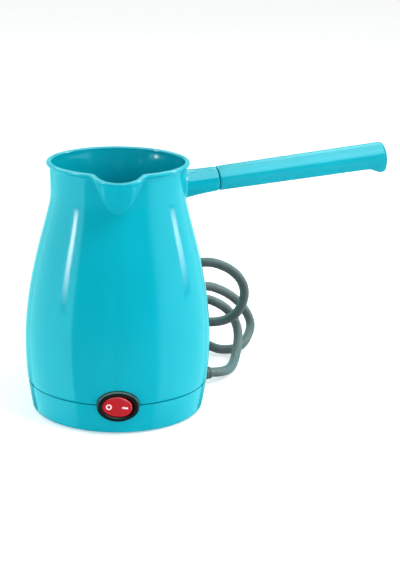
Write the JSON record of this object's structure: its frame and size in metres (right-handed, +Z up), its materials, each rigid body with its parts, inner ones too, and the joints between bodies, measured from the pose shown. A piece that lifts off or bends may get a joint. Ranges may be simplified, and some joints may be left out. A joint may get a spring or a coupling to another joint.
{
  "type": "electric coffee pot",
  "caption": "Bulged plastic electric coffee pot with a spout, a long side handle, a heating plate in its floor, an oval rocker switch and a looped mains lead with a plug.",
  "frame": {"origin": "on the table under the jug's vertical axis, at the centre of the non-slip ring's underside", "axes": "+Z up along the jug's axis; -Y towards the spout and the switch, which are the front; +X to the right of the front, the side of the handle"},
  "size_m": [0.2186, 0.2229, 0.1559],
  "materials": {
    "shell_plastic": "moulded, glossy turquoise",
    "foot_silicone": "matt silicone",
    "gasket_silicone": "matt silicone",
    "zinc_steel": "zinc plated",
    "spring_steel": "drawn wire",
    "insert_brass": "turned and stamped",
    "plate_stainless": "fine brushed stainless",
    "sheathed_steel": "annealed sheath",
    "diffuser_aluminium": "mill finish",
    "white_ceramic": "unglazed ceramic",
    "brown_phenolic": "moulded phenolic",
    "glass_fibre": "braided sleeve",
    "switch_black": "glossy black nylon",
    "rocker_red": "glossy, slightly translucent red",
    "mark_white": "printed ink",
    "plunger_nylon": "natural nylon",
    "contact_copper": "stamped copper alloy",
    "lamp_glass": "clear glass bulb",
    "wire_brown": "brown insulation",
    "wire_blue": "blue insulation",
    "wire_green": "green and yellow insulation",
    "cord_grey": "satin dark grey PVC",
    "clamp_plastic": "glass-filled nylon",
    "strap_black": "hook-and-loop strap",
    "pin_nickel": "nickel-plated brass"
  },
  "bodies": {
    "jug": {"jug_wall": "shell_plastic", "jug_floor": "shell_plastic", "screw_posts": "shell_plastic", "handle_stub": "shell_plastic", "base_cover": "shell_plastic", "foot_ring": "foot_silicone", "base_screws": "zinc_steel", "handle_grip": "shell_plastic", "handle_cap": "shell_plastic", "handle_screw": "zinc_steel", "handle_insert": "insert_brass", "heating_plate": "plate_stainless", "plate_gasket": "gasket_silicone", "clamp_ring": "zinc_steel", "clamp_screws": "zinc_steel", "diffuser_plate": "diffuser_aluminium", "heating_element": "sheathed_steel", "element_ceramics": "white_ceramic", "element_tabs": "insert_brass", "thermostat_cup": "diffuser_aluminium", "thermostat_body": "brown_phenolic", "thermostat_flange": "zinc_steel", "thermostat_screws": "zinc_steel", "thermostat_tabs": "insert_brass", "thermal_fuse": "insert_brass", "fuse_sleeve": "glass_fibre", "fuse_clip": "zinc_steel", "earth_tab": "insert_brass", "switch_housing": "switch_black", "switch_tabs": "insert_brass", "neon_lamp": "lamp_glass", "receptacles": "plunger_nylon", "lead_live": "wire_brown", "lead_switched": "wire_brown", "lead_fuse": "wire_brown", "lead_element": "wire_brown", "lead_neutral": "wire_blue", "lead_lamp": "wire_blue", "lead_earth": "wire_green", "strain_relief": "cord_grey", "cord_tail": "cord_grey", "cord_clamp": "clamp_plastic", "cord_clamp_screws": "zinc_steel", "power_cord": "cord_grey", "cord_tie": "strap_black", "plug_body": "cord_grey", "plug_pins": "pin_nickel", "plug_earth_clips": "insert_brass"},
    "rocker": {"switch_rocker": "rocker_red", "rocker_marks": "mark_white", "switch_plunger": "plunger_nylon", "switch_spring": "spring_steel"},
    "switch contact": {"switch_contact": "contact_copper"}
  },
  "joints": [
    {"name": "rocker_tilt", "type": "hinge", "parent": "jug", "child": "rocker", "pos_m": [0, -0.05229, 0.0188], "axis": [0, 0, 1], "range_deg": [0, 18]},
    {"name": "contact_tilt", "type": "hinge", "parent": "jug", "child": "switch contact", "pos_m": [0, -0.04329, 0.0188], "axis": [0, 0, 1], "range_deg": [-14, 0]}
  ],
  "couplings": [
    {"joint": "contact_tilt", "follows": "rocker_tilt", "ratio": -0.7777}
  ]
}
